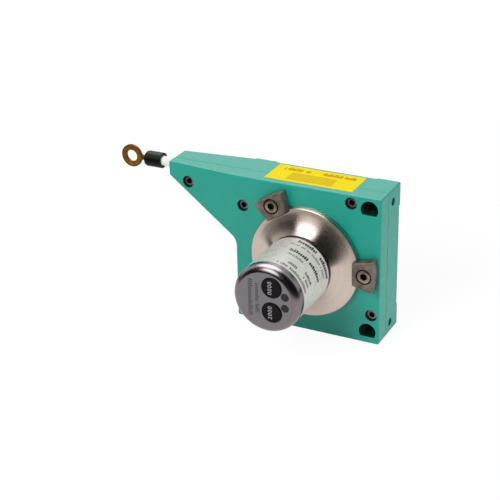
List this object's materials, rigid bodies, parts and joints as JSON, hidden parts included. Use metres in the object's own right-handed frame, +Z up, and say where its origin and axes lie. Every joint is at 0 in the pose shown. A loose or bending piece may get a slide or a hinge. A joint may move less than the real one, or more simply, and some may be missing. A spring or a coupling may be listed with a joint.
{
  "type": "draw wire encoder",
  "caption": "Square housing with a tapered nose and a spring-loaded wire drum, a clamped round encoder with set buttons, and a wire that ends in a ring terminal.",
  "frame": {"origin": "on the drum and encoder axis, in the plane of the rear mounting pads", "axes": "+X to the closed end of the housing, away from the wire; +Y out of the rear pads, into the surface it is mounted on; +Z up, towards the wire's side of the drum"},
  "size_m": [0.1514, 0.0727, 0.0804],
  "materials": {
    "housing_paint": "satin powder coat",
    "turned_steel": "fine turned",
    "clamp_steel": "ground, slightly dull",
    "screw_steel": "plain zinc",
    "screw_black": "black oxide",
    "cap_metal": "satin anodised",
    "plate_grey": "printed film",
    "label_white": "label film",
    "sticker_yellow": "label film",
    "button_black": "moulded",
    "window_smoke": "clear, smoked",
    "seal_black": "moulded rubber",
    "terminal_brass": "stamped",
    "sleeve_black": "smooth rubber",
    "nozzle_white": "turned plastic",
    "wiper_felt": "felt",
    "wire_steel": "stranded stainless wire",
    "ferrule_metal": "crimped",
    "drum_plastic": "moulded acetal",
    "spring_steel": "blued strip",
    "bearing_steel": "ground",
    "shaft_steel": "ground",
    "magnet_ferrite": "sintered",
    "board_green": "solder mask",
    "switch_black": "moulded",
    "led_clear": "clear resin",
    "nickel_brass": "nickel-plated"
  },
  "bodies": {
    "housing": {"rear_housing": "housing_paint", "front_cover": "housing_paint", "housing_seal": "seal_black", "cover_screws": "screw_black", "top_sticker": "sticker_yellow", "drum_bearings": "bearing_steel", "spring_arbor": "shaft_steel", "mainspring": "spring_steel", "wire_nozzle": "nozzle_white", "wire_wiper": "wiper_felt", "encoder_flange": "turned_steel", "flange_clamps": "clamp_steel", "clamp_screws": "screw_steel", "flange_o_ring": "seal_black", "encoder_tube": "cap_metal", "tube_label": "label_white", "end_cap": "cap_metal", "cap_o_ring": "seal_black", "face_plate": "plate_grey", "led_windows": "window_smoke", "status_leds": "led_clear", "key_switches": "switch_black", "key_board": "board_green", "key_board_posts": "ferrule_metal", "encoder_bearings": "bearing_steel", "bearing_spacer": "shaft_steel", "retaining_ring": "spring_steel", "shaft_seal": "seal_black", "sensor_board": "board_green", "main_board": "board_green", "board_standoffs": "nickel_brass", "gland_body": "nickel_brass", "gland_seal": "seal_black", "gland_nut": "nickel_brass"},
    "drum": {"cable_drum": "drum_plastic", "drum_shaft": "shaft_steel", "drum_bearing_inner_rings": "bearing_steel", "wire_winding": "wire_steel", "spring_cover": "shaft_steel", "encoder_shaft": "shaft_steel", "encoder_bearing_inner_rings": "bearing_steel", "magnet_holder": "ferrule_metal", "sensor_magnet": "magnet_ferrite"},
    "wire_end": {"draw_wire": "wire_steel", "wire_ferrule": "ferrule_metal", "end_sleeve": "sleeve_black", "ring_terminal": "terminal_brass"},
    "upper_button": {"set_button_1": "button_black"},
    "lower_button": {"set_button_2": "button_black"}
  },
  "joints": [
    {"name": "drum_spin", "type": "hinge", "parent": "housing", "child": "drum", "pos_m": [0, 0, 0], "axis": [0, -1, 0], "range_deg": [0, 3274], "stiffness_Nm_per_rad": 0.0018, "springref_deg": -5557.69},
    {"name": "wire_pull", "type": "slide", "parent": "housing", "child": "wire_end", "axis": [-1, 0, 0], "range_m": [0, 2]},
    {"name": "button_1_press", "type": "slide", "parent": "housing", "child": "upper_button", "axis": [0, 1, 0], "range_m": [0, 0.0005], "stiffness_N_per_m": 1500, "springref_m": -0.0004},
    {"name": "button_2_press", "type": "slide", "parent": "housing", "child": "lower_button", "axis": [0, 1, 0], "range_m": [0, 0.0005], "stiffness_N_per_m": 1500, "springref_m": -0.0004}
  ],
  "couplings": [
    {"joint": "wire_pull", "follows": "drum_spin", "m_per_rad": 0.035}
  ]
}
